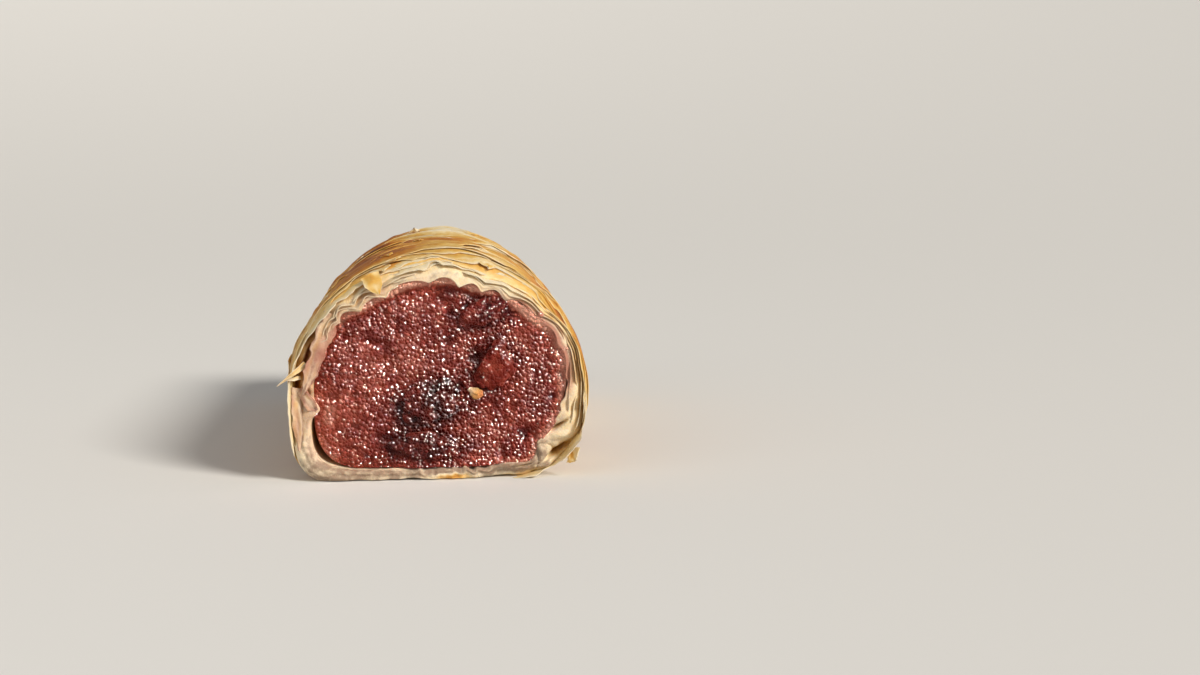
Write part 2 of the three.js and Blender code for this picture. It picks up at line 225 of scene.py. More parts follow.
# Cherry pieces: end of the roll, place across, height, half sizes across, along and up, turn, share mashed
# to pulp, darkness
CHERRIES = {
    "cherry_centre": (-1, -2, 16.9, (6.6, 5.5, 4.9), 0.25, 1, 0.8),
    "cherry_low": (-1, -2.6, 7.4, (8.2, 5, 3), -0.06, 0.8, 0.73),
    "cherry_upper": (-1, 9.8, 36.6, (6, 5, 2.9), 0.45, 0.8, 0.62),
    "cherry_right": (-1, 11.8, 25, (4.6, 4.6, 5.4), -0.3, 0.1, 0.55),
    "cherry_back_left": (1, -9, 24, (5.8, 5.4, 5), 0.4, 0.9, 0.84),
    "cherry_back_right": (1, 8.5, 13.5, (6.8, 5.2, 4.2), -0.2, 0.7, 0.8),
    "cherry_back_upper": (1, 5, 35, (4.8, 4.6, 3.4), 0.1, 0.3, 0.68),
}
SMOOTH_LIMIT = 0.5
CHERRY_DOME = 1.5

# Camera, light and floor
FOCAL_PIXELS = 1600
IMAGE_WIDTH = 1200
SENSOR_WIDTH = 36
CAMERA_PLACE = (0.78, -403.9, 71.6)
CAMERA_YAW = 0.099
CAMERA_PITCH = -0.11666
ROSY_LIGHT = (1.0, 0.81, 0.73)
# Suns: name, direction that it comes from, width, strength, colour, whether it only adds glints
SUNS = [
    ("key", (0.64, -0.56, 0.54), 0.3, 3.5, (1.0, 0.955, 0.88), False),
    ("sparkle", (0.6, -0.6, 0.54), 0.25, 84.0, ROSY_LIGHT, True),
    ("sparkle_back", (-0.6, 0.6, 0.54), 0.25, 84.0, ROSY_LIGHT, True),
]
PANEL_PLACE = (-500, -500, 350)
PANEL_TARGET = (0, -50, 25)
PANEL_SIZE = 600
PANEL_POWER = 1.0
ROOM_LOOK = {"Color": (0.84, 0.82, 0.8, 1), "Strength": 0.3}
FLOOR_LOOK = {"Base Color": (0.74, 0.73, 0.71, 1), "Roughness": 0.9, "Specular IOR Level": 0.1}
FLOOR_CELLS = 80
FLOOR_REACH = 12000
FLOOR_FLAT = 600
FLOOR_CURVE = 0.00002


# Numbers

def mix(low, high, share):
    return low + (high - low) * share


def smooth(share):
    inside = np.clip(share, 0, 1)
    return inside * inside * (3 - 2 * inside)


def hill(value, centre, spread):
    return np.exp(-((value - centre) / spread) ** 2)


def turn_from(angle, centre):
    """Angle from a centre, within half a turn of it."""
    return (angle - centre + math.pi) % (2 * math.pi) - math.pi


def bump(angle, centre, spread):
    return hill(turn_from(angle, centre), 0, spread)


def bumps(angle, table):
    return sum(height * bump(angle, centre, spread) for height, centre, spread in table)


def scramble(key):
    key = (key ^ (key >> 15)) * 2246822519 & 0xFFFFFFFF
    key = (key ^ (key >> 13)) * 3266489917 & 0xFFFFFFFF
    return (key ^ (key >> 16)) & 0xFFFF


def rough(seed, *axes):
    """A smooth random field from -1 to 1, with a random value at every whole number of the axes."""
    wholes = [np.floor(axis).astype(np.int64) for axis in axes]
    shares = [smooth(axis - whole) for axis, whole in zip(axes, wholes)]
    total = np.zeros_like(shares[0])
    for corner in np.ndindex(*(2,) * len(axes)):
        weight = np.ones_like(total)
        key = np.full(total.shape, seed * 7919, dtype=np.int64)
        for whole, share, side in zip(wholes, shares, corner):
            weight = weight * (share if side else 1 - share)
            key = scramble(key * 31 + (whole + side) * 668265263 + 374761393)
        total += weight * (key / 32767.5 - 1)
    return total


def field(seed, pitch, *axes):
    """The random field with the same pitch along every axis."""
    return rough(seed, *(axis / pitch for axis in axes))


def cell_distance(seed, first, second):
    """Distance to the nearest of random points, one of which lies in every unit square."""
    whole_a = np.floor(first).astype(np.int64)
    whole_b = np.floor(second).astype(np.int64)
    nearest = np.full(first.shape, 9.0)
    for step_a, step_b in np.ndindex(3, 3):
        square_a = whole_a + step_a - 1
        square_b = whole_b + step_b - 1
        key = scramble(scramble(square_a * 668265263 + seed * 7919) * 31 + square_b * 374761393)
        point_a = square_a + (key & 0xFF) / 255
        point_b = square_b + (key >> 8) / 255
        nearest = np.minimum(nearest, np.hypot(first - point_a, second - point_b))
    return nearest


def make_draw(seed):
    """Draws the same numbers as were drawn for the solids."""

    def draw(low, high):
        nonlocal seed
        seed = (seed * 1664525 + 1013904223) % 4294967296
        return low + (high - low) * seed / 4294967296

    return draw


def make_wobble(draw, turns):
    phases = [draw(0, 2 * math.pi) for _ in turns]

    def wobble(angle):
        return sum(np.sin(n * angle + phase) for n, phase in zip(turns, phases)) / len(turns)

    return wobble


# Form of the roll

def behind_cut(y):
    """Distance behind the nearer cut, below 0 in front of it."""
    return HALF_LENGTH - np.abs(y)


def near_cut(y, reach=SAG_REACH):
    return np.exp(-np.maximum(0, behind_cut(y)) / reach)


def body_radius(angle, y):
    across = np.cos(angle)
    up = np.sin(angle)
    half_width = ROLL_WIDTH / 2 - CUT_PINCH * near_cut(y)
    crown = CROWN_HEIGHT - CUT_SAG * near_cut(y) - WIDEST_HEIGHT
    rise = np.where(up >= 0, crown, WIDEST_HEIGHT + BASE_PRESS)
    heel_power = np.where(across < 0, LEFT_HEEL_POWER, RIGHT_HEEL_POWER)
    power = np.where(up >= 0, CROWN_POWER, heel_power)
    return ((np.abs(across) / half_width) ** power + (np.abs(up) / rise) ** power) ** (-1 / power)


def wall(angle):
    across = np.cos(angle)
    up = np.sin(angle)
    side = np.where(across < 0, WALL_LEFT, WALL_RIGHT)
    level = np.where(up > 0, WALL_TOP, WALL_BASE)
    return mix(side, level, up * up) + bumps(angle, WALL_CHANGES)


def shown_share(angle):
    return smooth((np.sin(angle) + 0.65) / 0.55)


wrinkle_drift = make_wobble(make_draw(7), [1, 2, 4])
leaf_draw = make_draw(31)
leaf_edges = []
leaf_lifts = []
for edge in range(LEAF_COUNT + 1):
    leaf_edges.append(make_wobble(leaf_draw, [1, 3, 5, 9]))
    leaf_lifts.append(make_wobble(leaf_draw, [1, 2, 4]))


def skin_radius(angle, y):
    wave = np.sin(2 * math.pi * y / WRINKLE_PITCH + WRINKLE_DRIFT * wrinkle_drift(angle))
    return body_radius(angle, y) + WRINKLE * shown_share(angle) * wave


def edge_line(edge, angle):
    level = mix(-HALF_LENGTH, HALF_LENGTH, edge / LEAF_COUNT)
    return level + LEAF_WANDER * leaf_edges[edge](angle)


def edge_lift(edge, angle):
    return LEAF_LIFT * shown_share(angle) * smooth(0.45 + leaf_lifts[edge](angle))


def bore_radius(angle, y):
    return body_radius(angle, y) - wall(angle)


def fine_wrinkle(angle, y):
    """Small creases round the roll, shared by all the leaves so that they fit each other."""
    arc = angle * ARC_RADIUS
    long_crease = 0.26 * rough(3, arc / 24, y / 4.5)
    short_crease = 0.07 * rough(5, arc / 9, y / 1.9)
    blister = 0.25 * smooth((rough(6, arc / 6, y / 4.4) - 0.45) / 0.4)
    return shown_share(angle) * (long_crease + short_crease + blister)


def section_points(angle, radius, y):
    height = np.maximum(0.02, WIDEST_HEIGHT + radius * np.sin(angle))
    return np.stack([radius * np.cos(angle), y, height], axis=1)


# Meshes

def new_object(name, data):
    item = bpy.data.objects.new(name, data)
    bpy.context.scene.collection.objects.link(item)
    return item


def pick(*pieces):
    bpy.ops.object.select_all(action="DESELECT")
    for piece in pieces:
        piece.select_set(True)
    bpy.context.view_layer.objects.active = pieces[0]


def corners(piece):
    flat = np.empty(len(piece.data.vertices) * 3)
    piece.data.vertices.foreach_get("co", flat)
    return flat.reshape(-1, 3)


def put_corners(piece, points):
    piece.data.vertices.foreach_set("co", ((points + ROLL_MIDDLE) * MM).ravel())
    piece.data.update()


def paint(piece, **layers):
    for name, values in layers.items():
        layer = piece.data.attributes.new(name, "FLOAT", "POINT")
        layer.data.foreach_set("value", np.clip(values, 0, 1).astype(np.float32))


def new_grid(name, columns, rows):
    """A flat grid, with the place of its points across and along it from 0 to 1."""
    bpy.ops.mesh.primitive_grid_add(x_subdivisions=columns, y_subdivisions=rows, size=1)
    piece = bpy.context.object
    piece.name = name
    shares = corners(piece)[:, :2] + 0.5
    return piece, shares[:, 0], shares[:, 1]


def new_ball(name, detail):
    bpy.ops.mesh.primitive_ico_sphere_add(subdivisions=detail, radius=1)
    piece = bpy.context.object
    piece.name = name
    return piece, corners(piece)


def close_seams(piece, degrees):
    """Merges the edges that meet, turns every face outwards and softens the shading."""
    pick(piece)
    bpy.ops.object.mode_set(mode="EDIT")
    bpy.ops.mesh.select_all(action="SELECT")
    bpy.ops.mesh.remove_doubles(threshold=2e-7)
    bpy.ops.mesh.normals_make_consistent(inside=False)
    bpy.ops.object.mode_set(mode="OBJECT")
    soften(piece, degrees)


def thicken(piece, thick):
    pick(piece)
    shell = piece.modifiers.new("thick", "SOLIDIFY")
    shell.thickness = thick * MM
    shell.offset = 0
    bpy.ops.object.modifier_apply(modifier=shell.name)


def soften(piece, degrees):
    pick(piece)
    bpy.ops.object.shade_smooth_by_angle(angle=math.radians(degrees))


def join(name, pieces):
    pick(*pieces)
    bpy.ops.object.join()
    pieces[0].name = name
    return pieces[0]


def finish_piece(piece, node, material, wet_pieces=None):
    if wet_pieces:
        wet_pieces.objects.link(piece)
    piece.data.materials.append(material)
    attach(piece, "root")
    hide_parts(node)


# Materials

def tint(*channels):
    """Linear colour of one given in screen values."""
    shares = [channel / 255 for channel in channels]
    return [s / 12.92 if s <= 0.04045 else ((s + 0.055) / 1.055) ** 2.4 for s in shares] + [1]


CRUST_STOPS = [
    # The grey at 0 is painted shade, used at the base of the cuts and in the fold.
    (0.0, tint(150, 132, 111)),
    (0.12, tint(234, 218, 186)),
    (0.27, tint(234, 205, 150)),
    (0.45, tint(218, 169, 86)),
    (0.65, tint(193, 124, 48)),
    (0.85, tint(148, 80, 24)),
    (1.0, tint(94, 46, 14)),
]
SOAKED_DOUGH = tint(168, 104, 88)
JUICE_STOPS = [
    (0.0, tint(212, 150, 128)),
    (0.3, tint(148, 66, 50)),
    (0.55, tint(108, 35, 26)),
    (0.78, tint(70, 16, 11)),
    (1.0, tint(34, 8, 6)),
]
WET_ROUGHNESS = (0.06, 0.2)


def new_group(name, inputs, outputs):
    group = bpy.data.node_groups.new(name, "ShaderNodeTree")
    for label in inputs:
        group.interface.new_socket(label, in_out="INPUT", socket_type="NodeSocketFloat")
    for label in outputs:
        kind = "NodeSocketColor" if label == "Color" else "NodeSocketFloat"
        group.interface.new_socket(label, in_out="OUTPUT", socket_type=kind)
    return group, group.nodes.new("NodeGroupInput"), group.nodes.new("NodeGroupOutput")


def set_inputs(node, inputs):
    """Links the inputs that are given a socket and sets plain values on the others."""
    for key, value in inputs.items():
        if isinstance(value, bpy.types.NodeSocket):
            node.id_data.links.new(value, node.inputs[key])
        else:
            node.inputs[key].default_value = value


def add_node(tree, kind, inputs, **settings):
    """A new node, of which the outputs are given back."""
    node = tree.nodes.new(kind)
    for name, value in settings.items():
        setattr(node, name, value)
    set_inputs(node, inputs)
    return node.outputs


def add_place(tree):
    return tree.nodes.new("ShaderNodeTexCoord").outputs["Object"]


def add_math(tree, operation, *values):
    return add_node(tree, "ShaderNodeMath", dict(enumerate(values)), operation=operation)[0]


def add_noise(tree, scale, detail):
    inputs = {"Vector": add_place(tree), "Scale": scale, "Detail": detail}
    return add_node(tree, "ShaderNodeTexNoise", inputs)["Fac"]


def add_spread(tree, value, noise, share):
    """The value made uneven by a noise, half of it upwards and half downwards."""
    return add_math(tree, "ADD", add_math(tree, "MULTIPLY_ADD", noise, share, value), -share / 2)


def add_range(tree, value, span, result):
    labels = ("Value", "From Min", "From Max", "To Min", "To Max")
    inputs = dict(zip(labels, (value, *span, *result)))
    return add_node(tree, "ShaderNodeMapRange", inputs)["Result"]


def add_ramp(tree, value, stops):
    ramp = tree.nodes.new("ShaderNodeValToRGB")
    elements = ramp.color_ramp.elements
    while len(elements) < len(stops):
        elements.new(0.5)
    for element, (place, colour) in zip(elements, stops):
        element.position = place
        element.color = colour
    set_inputs(ramp, {"Fac": value})
    return ramp.outputs["Color"]


def add_cells(tree, scale, warp):
    """Squared distance to the nearest of random points: round packed bumps when it is taken away."""
    place = add_place(tree)
    bend = add_node(tree, "ShaderNodeTexNoise", {"Vector": place, "Scale": scale * 0.6})["Color"]
    shift = {0: bend, 1: (warp / scale,) * 3, 2: place}
    bent = add_node(tree, "ShaderNodeVectorMath", shift, operation="MULTIPLY_ADD")["Vector"]
    cells = add_node(tree, "ShaderNodeTexVoronoi", {"Vector": bent, "Scale": scale})
    steep = add_range(tree, cells["Color"], (0, 1), (0.4, 1.5))
    round_cap = add_math(tree, "MULTIPLY", cells["Distance"], cells["Distance"])
    return add_math(tree, "MULTIPLY", round_cap, steep)


def make_crust_group():
    """Baked dough from pale cream to dark brown, with juice soaked in where it is stained."""
    group, given, result = new_group("crust_tone", ["Brown", "Stain"], ["Color", "Height"])
    speckle = add_noise(group, 700, 4)
    fine = add_noise(group, 2600, 3)
    brown = add_spread(group, given.outputs["Brown"], speckle, 0.3)
    stain = add_spread(group, given.outputs["Stain"], fine, 0.25)
    soaked = add_node(group, "ShaderNodeClamp", {"Value": stain})[0]
    blend = {"Factor": soaked, "A": add_ramp(group, brown, CRUST_STOPS), "B": SOAKED_DOUGH}
    colour = add_node(group, "ShaderNodeMix", blend, data_type="RGBA")["Result"]
    set_inputs(result, {"Color": colour, "Height": add_math(group, "MULTIPLY_ADD", fine, 0.5, speckle)})
    return group


def make_juice_group():
    """Fruit filling from pale pink through red to near black, with a relief of small round grains."""
    group, given, result = new_group("juice_tone", ["Juice"], ["Color", "Height", "Roughness"])
    patch = add_noise(group, 420, 4)
    fine = add_noise(group, 3200, 3)
    juice = add_spread(group, given.outputs["Juice"], patch, 0.22)
    domes = add_math(group, "MULTIPLY_ADD", add_cells(group, 1200, 0.5), -2.85, patch)
    set_inputs(result, {
        "Color": add_ramp(group, juice, JUICE_STOPS),
        "Height": add_math(group, "MULTIPLY_ADD", fine, 0.04, domes),
        "Roughness": add_range(group, add_noise(group, 330, 2), (0.35, 0.7), WET_ROUGHNESS),
    })
    return group


def new_material(name):
    material = bpy.data.materials.new(name)
    material.use_nodes = True
    return material, material.node_tree.nodes["Principled BSDF"]


def make_material(name, group, gloss, relief_depth, soft_share, soft_reach, soft_depth, roughness=None):
    """A surface with the colour and relief of a shared group, and its roughness where none is given."""
    material, shader = new_material(name)
    tree = material.node_tree
    tone = tree.nodes.new("ShaderNodeGroup")
    tone.node_tree = group
    for socket in tone.inputs:
        layer = add_node(tree, "ShaderNodeAttribute", {}, attribute_name=socket.name.lower())
        tree.links.new(layer["Fac"], socket)
    relief = {"Distance": relief_depth * MM, "Height": tone.outputs["Height"]}
    set_inputs(shader, {
        "Base Color": tone.outputs["Color"],
        "Roughness": tone.outputs["Roughness"] if roughness is None else roughness,
        "Normal": add_node(tree, "ShaderNodeBump", relief)["Normal"],
        "Specular IOR Level": gloss,
        "Subsurface Weight": soft_share,
        "Subsurface Radius": soft_reach,
        "Subsurface Scale": soft_depth * MM,
    })
    return material


crust_group = make_crust_group()
juice_group = make_juice_group()
leaf_material = make_material("baked_leaf", crust_group, 0.12, 0.12, 0.3, (1.0, 0.9, 0.75), 1.2, 0.5)
dough_material = make_material("soft_dough", crust_group, 0.15, 0.25, 0.2, (1.0, 0.6, 0.35), 1.5, 0.55)
filling_material = make_material("cherry_filling", juice_group, 0.15, 0.22, 0.15, (1.0, 0.25, 0.2), 1.0)
grain_material = make_material("wet_grain", juice_group, 0.19, 0.03, 0.15, (1.0, 0.3, 0.25), 0.8)
cherry_material = make_material("cooked_cherry", juice_group, 0.15, 0.18, 0.06, (1.0, 0.15, 0.12), 1.0)
skin_material = make_material("cherry_skin", juice_group, 0.05, 0.12, 0.1, (1.0, 0.15, 0.12), 1.0)


# Body of the pastry sleeve

def at_fold(angle, spread=FOLD_REACH):
    return bump(angle, FOLD_ANGLE, spread)


def right_side(angle, start=0.8):
    return smooth(2 * np.cos(angle) - start)


def dough_share(angle):
    """How far the cut wall is soft dough, as at the base and the left heel, and not loose leaves."""
    right = smooth(0.5 + 1.5 * np.cos(angle))
    return smooth((-np.sin(angle) - mix(0.02, 0.78, right)) / 0.3)


def split_depth(angle, share):
    depth = np.zeros_like(angle)
    for at_share, at_angle, spread, deep, width, slant in SPLITS:
        line = at_share + slant * turn_from(angle, at_angle) + 0.05 * np.sin(9 * angle + 20 * at_share)
        depth += deep * bump(angle, at_angle, spread) * hill(share, line, width)
    return depth


def rim_depth(angle, share, end):
    """How far the wall's end lies behind the cut, from the bore at share 0 to the outside at share 1."""
    dough = dough_share(angle)
    reach = RIM_RADIUS + share * wall(angle)
    x = reach * np.cos(angle) + RIM_SHIFT * end
    z = reach * np.sin(angle)
    fold = 1.3 * at_fold(angle, 0.42)
    soft = bump(angle, LEFT_SOFT_ANGLE, 0.5) + fold
    layers = 0.14 * np.sin(2 * math.pi * (share * 2.5 + 0.5 * field(11, 9, x, z)))
    crumb = 0.24 * field(12, 1.5, x, z) + 0.16 * field(13, 0.7, x, z)
    rounding = mix(0.2, 1.0, dough) * np.abs(2 * share - 1) ** 5
    slope = mix(3.2, 0.5, dough) * share ** 1.6
    lumps = soft * (1.1 * field(19, 4.4, x, z) + 0.6 * field(20, 2.1, x, z))
    valley = hill(field(24, 3.6, x, z), 0, 0.14) * (0.55 + 0.45 * field(25, 5, x, z))
    waves = 0.45 * field(14, 6, x, z) + 0.3 * field(15, 3.2, x, z)
    layers = layers * np.clip(1 - soft, 0, 1)
    crumb = crumb * mix(0.35, 1.0, np.clip(dough + soft, 0, 1))
    depth = 0.3 + slope + layers + crumb + rounding + waves + lumps
    return depth + fold * valley + split_depth(angle, share)


def lip_arches(angle):
    """Arches of the wall's inner edge over the filling, with points between them that hang down."""
    over = smooth((np.sin(angle) - 0.1) / 0.5)
    arches = np.abs(np.sin(13 * angle + 1.3 * np.sin(2 * angle) + 0.8 * np.sin(5 * angle)))
    return over * LIP_DEPTH * (arches - LIP_LEVEL)


def lip_radius(angle, y):
    """The bore with its scalloped lip at the cuts and the tab on the left."""
    across = np.cos(angle)
    up = np.sin(angle)
    end = np.sign(y)
    uneven = (0.4 + 0.5 * at_fold(angle, 0.5)) * rough(16, across * 8, up * 8 + end * 20)
    tatter = bump(angle, FOLD_ANGLE + 0.25, FOLD_REACH) * rough(26, across * 17, up * 17 + end * 30)
    sole = smooth((-up - 0.75) / 0.15)
    heave = sole * (-0.1 - 0.5 * across + 0.9 * rough(17, across * 16, end * 9.5))
    change = lip_arches(angle) + bumps(angle, LIP_CHANGES) + uneven - LIP_TATTER * tatter - heave
    return bore_radius(angle, y) + near_cut(y, LIP_REACH) * change


def sole_lift(x, y):
    """How far the lower edge stands off the ground at the cuts."""
    gaps = sum(height * hill(x, place, spread) for place, spread, height in SOLE_GAPS)
    uneven = 0.3 * (1 + rough(18, x / 3.5, np.sign(y) * 4.5))
    return np.exp(-behind_cut(y) / SOLE_REACH) * (gaps + uneven)


def core_profile(u, v):
    """Angle, share of the wall and place along: forwards outside, then front end, bore and back end."""
    angle = u * 2 * math.pi - math.pi / 2
    knots = np.cumsum([0, *CORE_ROWS]) / sum(CORE_ROWS)
    share = np.interp(v, knots, [1, 1, 0, 0, 1])
    forwards = np.interp(v, knots, [0, 1, 1, 0, 0])
    front_y = -HALF_LENGTH + rim_depth(angle, share, -1)
    back_y = HALF_LENGTH - rim_depth(angle, share, 1)
    return angle, share, mix(back_y, front_y, forwards)


def paint_core(piece, angle, share, x, y):
    """Toasted outside and under the base, pale crumb at the cuts, juice soaked into inner layers, painted
    shade in gaps and at the base.
    """
    across = np.cos(angle)
    up = np.sin(angle)
    under = smooth((-up - 0.35) / 0.3)
    sole = smooth((-up - 0.22) / 0.4)
    gap = smooth(split_depth(angle, share) / 3)
    rim = smooth((5 + 3 * gap - behind_cut(y)) / 4)
    streak = rough(21, 3.3 * across, 3.3 * up, y / 2.2)
    patch = rough(22, 5 * across, 5 * up, y / 5)
    brown = mix(0.5 + 0.1 * streak, 0.62 + 0.2 * patch, under)
    brown = brown - 0.3 * bump(angle, FOLD_ANGLE - 0.15, FOLD_REACH) * smooth((11 - behind_cut(y)) / 9)
    crumb_tone = 0.14 + 0.03 * streak + 0.08 * share * share
    # Painted shade: at the base the crumb turns grey.
    brown = mix(brown, mix(crumb_tone, 0.02 * smooth(patch), sole), rim)
    toasted = 0.5 * hill(x, TOASTED_PLACE, TOASTED_SPREAD) * smooth((share - 0.22) / 0.3) * under
    brown = brown + toasted * rim * (1 + 0.4 * patch)
    # Painted shade: the gaps between layers are painted darker brown.
    deep = mix(0.5, 0.15, at_fold(angle)) * gap * rim
    left = smooth(-across * 1.4 - 0.2) * smooth((up + 0.6) / 0.5)
    right = right_side(angle, 0.6) * smooth((up + 0.2) / 0.3)
    soaked = mix(0.22, 0.5, left) * (1 + 0.6 * rough(23, 7 * across, 7 * up)) * (1 - 0.75 * under)
    inner = smooth((mix(0.75, 0.6, right) + 0.35 * left - share) / mix(0.8, 0.5, right))
    # The pink-grey tint under the base at the cuts is painted shade too.
    stain = inner * np.maximum(soaked, 0.9 * right) + 0.1 * under * rim
    paint(piece, brown=brown + deep, stain=stain)


def make_core():
    """The sleeve's own body, closed all round, under the leaves."""
    piece, u, v = new_grid("pastry_core", CORE_COLUMNS, sum(CORE_ROWS))
    angle, share, y = core_profile(u, v)
    covered = smooth((np.sin(angle) + 0.62) / 0.25)
    outside = skin_radius(angle, y) + fine_wrinkle(angle, y) - LEAF_COVER * covered
    points = section_points(angle, mix(lip_radius(angle, y), outside, share), y)
    points[:, 2] += share * sole_lift(points[:, 0], y) * smooth((-np.sin(angle) - 0.5) / 0.2)
    put_corners(piece, points)
    paint_core(piece, angle, share, points[:, 0], y)
    close_seams(piece, 70)
    return piece


# Leaves of the pastry

def torn(seed, arc):
    ragged = 0.9 * rough(seed, arc / 9) + 0.5 * rough(seed + 1, arc / 2.8)
    rip = np.maximum(0, rough(seed + 2, arc / 6) - 0.5) * 7
    return ragged + 0.28 * rough(seed + 3, arc / 1.1) + rip


def make_leaf(name, spread, size, free_line, root_line, height, browning):
    """A thin sheet round the roll, from its torn free edge to its root under the next one."""
    piece, u, v = new_grid(name, *size)
    depth = v ** 1.3
    side = mix(*spread, u)
    # The seed follows the length of the name, so ragged ends differ
    near_end = (1 - 4 * u * (1 - u)) ** 2
    angle = side + 0.07 * rough(len(name) + 61, depth * 9) * near_end
    y = mix(free_line(angle), root_line(angle), depth)
    away = np.abs(y - free_line(angle))
    raised = height(angle, away)
    held_down = smooth(10 * u * (1 - u))
    lift = np.minimum(raised, 0) + np.maximum(raised, 0) * held_down
    put_corners(piece, section_points(angle, skin_radius(angle, y) + fine_wrinkle(angle, y) + lift, y))
    brown, stain = browning(angle, y, away, side * ARC_RADIUS)
    paint(piece, brown=brown, stain=stain)
    thicken(piece, LEAF_THICK)
    return piece


def toast(seed, base):
    """Browning of an outer leaf: streaks round the roll, a darker crest and a pale torn edge."""

    def browning(angle, y, away, arc):
        streak = 0.12 * rough(seed, arc / 16, y / 4.5) + 0.05 * rough(seed + 1, arc / 6, y / 1.6)
        patch = 0.16 * rough(seed + 2, arc / 18, y / 10) + 0.08 * rough(seed + 3, arc / 5, y / 4)
        crest = 0.06 * hill(away, 2.4, 1.6)
        raised = 0.5 * fine_wrinkle(angle, y)
        edge = 0.18 * np.exp(-away / 0.5) + 0.1 * np.exp(-away / 2.5)
        cut = (0.12 + 0.2 * at_fold(angle)) * smooth((9 - behind_cut(y)) / 8)
        side = bumps(angle, CROWN_TONES) + bumps(angle, FAR_TONES) * smooth((y + 10) / 25)
        tone = base + streak + patch + crest + raised + side - edge - cut
        return np.maximum(tone, LEAST_BROWN), np.zeros_like(arc)

    return browning


def make_leaf_pair(leaf, edge, way):
    """A leaf and, under its free edge, the next one that peeps out; way is towards the root along y."""
    seed = LEAF_SEED + 10 * edge + leaf

    def free_line(angle):
        return edge_line(edge, angle) + way * torn(seed, angle * ARC_RADIUS)

    def root_line(angle):
        if leaf == MIDDLE_LEAF:
            return 0.5 * (edge_line(leaf, angle) + edge_line(leaf + 1, angle)) + way * 1.0
        return edge_line(edge + way, angle) + way * 5.0

    def height(angle, away):
        curl = 0.4 * np.maximum(0, rough(seed + 4, angle * ARC_RADIUS / 12)) * np.exp(-away / 2)
        span = np.abs(edge_line(edge + way, angle) - edge_line(edge, angle))
        lift = edge_lift(edge, angle) * np.clip(1 - away / span, 0, 1)
        return 0.08 + 0.08 * np.exp(-away / 6) + lift + curl * smooth(np.sin(angle) + 0.4)

    def under_line(angle):
        peep = 1.2 + 2.4 * rough(seed + 5, angle * ARC_RADIUS / 12)
        return edge_line(edge, angle) - way * peep + way * torn(seed + 6, angle * ARC_RADIUS + 50)

    def under_root(angle):
        return edge_line(edge, angle) + way * 4.5

    def under_height(angle, away):
        curl = 0.3 * np.maximum(0, rough(seed + 7, angle * ARC_RADIUS / 10)) * np.exp(-away / 1.6)
        return 0.02 + 0.1 * np.exp(-away / 4) + 0.45 * edge_lift(edge, angle) + curl

    top = make_leaf(f"leaf_{leaf}_{edge}", LEAF_SPREAD, LEAF_GRID, free_line, root_line, height,
                    toast(seed, LEAF_BROWN))
    under = make_leaf(f"under_{leaf}_{edge}", LEAF_SPREAD, UNDER_GRID, under_line, under_root, under_height,
                      toast(seed + 3, UNDER_BROWN))
    return [top, under]


def make_outer_leaves():
    """Leaves with free edges towards the nearer cut; the middle one has two."""
    pieces = []
    for leaf in range(1, LEAF_COUNT - 1):
        if leaf <= MIDDLE_LEAF:
            pieces += make_leaf_pair(leaf, leaf, 1)
        if leaf >= MIDDLE_LEAF:
            pieces += make_leaf_pair(leaf, leaf + 1, -1)
    return pieces


def make_rim_leaf(place, share, behind, ripple, brown_base, stain_base, low, high, end):
    """One of the thin sheets that show as layers at a cut."""
    seed = RIM_SEED + 20 * place + (7 if end > 0 else 0)

    def free_line(angle):
        arc = angle * ARC_RADIUS
        wander = mix(0.2, 2.4, share ** 2) * (rough(seed, arc / 12) - 0.3)
        ragged = mix(0.3, 0.9, share) * torn(seed + 1, arc)
        return end * (HALF_LENGTH - np.maximum(behind + wander + ragged, -RIM_OVERHANG))

    def root_line(angle):
        return end * (HALF_LENGTH - behind - RIM_LEAF_LENGTH)

    def height(angle, away):
        arc = angle * ARC_RADIUS
        crumple = 0.9 * rough(seed + 3, arc / 10, away / 6) + 0.35 * rough(seed + 4, arc / 4, away / 3)
        crisp = bumps(angle, LACY_PLACES) * rough(seed + 7, arc / 2, away / 3)
        fold = 1 + 1.4 * at_fold(angle, FOLD_SPREAD)
        waves = np.exp(-away / 4) * ripple * fold * (0.8 * crumple + crisp + 0.2)
        arches = lip_arches(angle) * np.exp(-away / LIP_REACH)
        return (1 - share) * (arches - wall(angle)) + waves

    def browning(angle, y, away, arc):
        fold = at_fold(angle)
        left = smooth(-np.cos(angle) * 1.3) * smooth(1 - np.sin(angle))
        right = right_side(angle) * smooth((np.sin(angle) + 0.1) / 0.3)
        streak = 0.06 * rough(seed + 5, arc / 9, away / 1.8)
        gold = 0.16 * smooth(away / 4) + 0.14 * right_side(angle) * share
        gold = gold * (1 - 0.7 * at_fold(angle, 0.45)) + 0.16 * right * share
        # Painted shade: the inner layers at the fold are painted grey.
        painted_fold_shade = 0.1 * fold * smooth(1.6 - 2 * share)
        # Its second term is a painted highlight: the torn edges of the outer leaves are made paler.
        pale = 0.12 * bump(angle, PALE_RIM_ANGLE, 0.4) + 0.14 * share * np.exp(-away / 0.7)
        tone = np.maximum(brown_base + streak + gold - painted_fold_shade - pale, 0.13 - 0.1 * fold)
        stain = stain_base * (1 + 0.9 * rough(seed + 6, arc / 5, away / 3))
        stain = stain + 0.7 * left * smooth(0.9 - share) + 0.5 * right * smooth(1.2 - 1.4 * share)
        return tone, stain

    size = (int(RIM_LEAF_DENSITY * (high - low)), RIM_LEAF_ROWS)
    return make_leaf(f"rim_{place}_{end}", (low, high), size, free_line, root_line, height, browning)


def scrap_tone(seed, side, v, brown, mottle, pale):
    return brown + mottle * rough(seed + 4, side * 2, v * 3) - pale * np.maximum(np.abs(side), v) ** 6


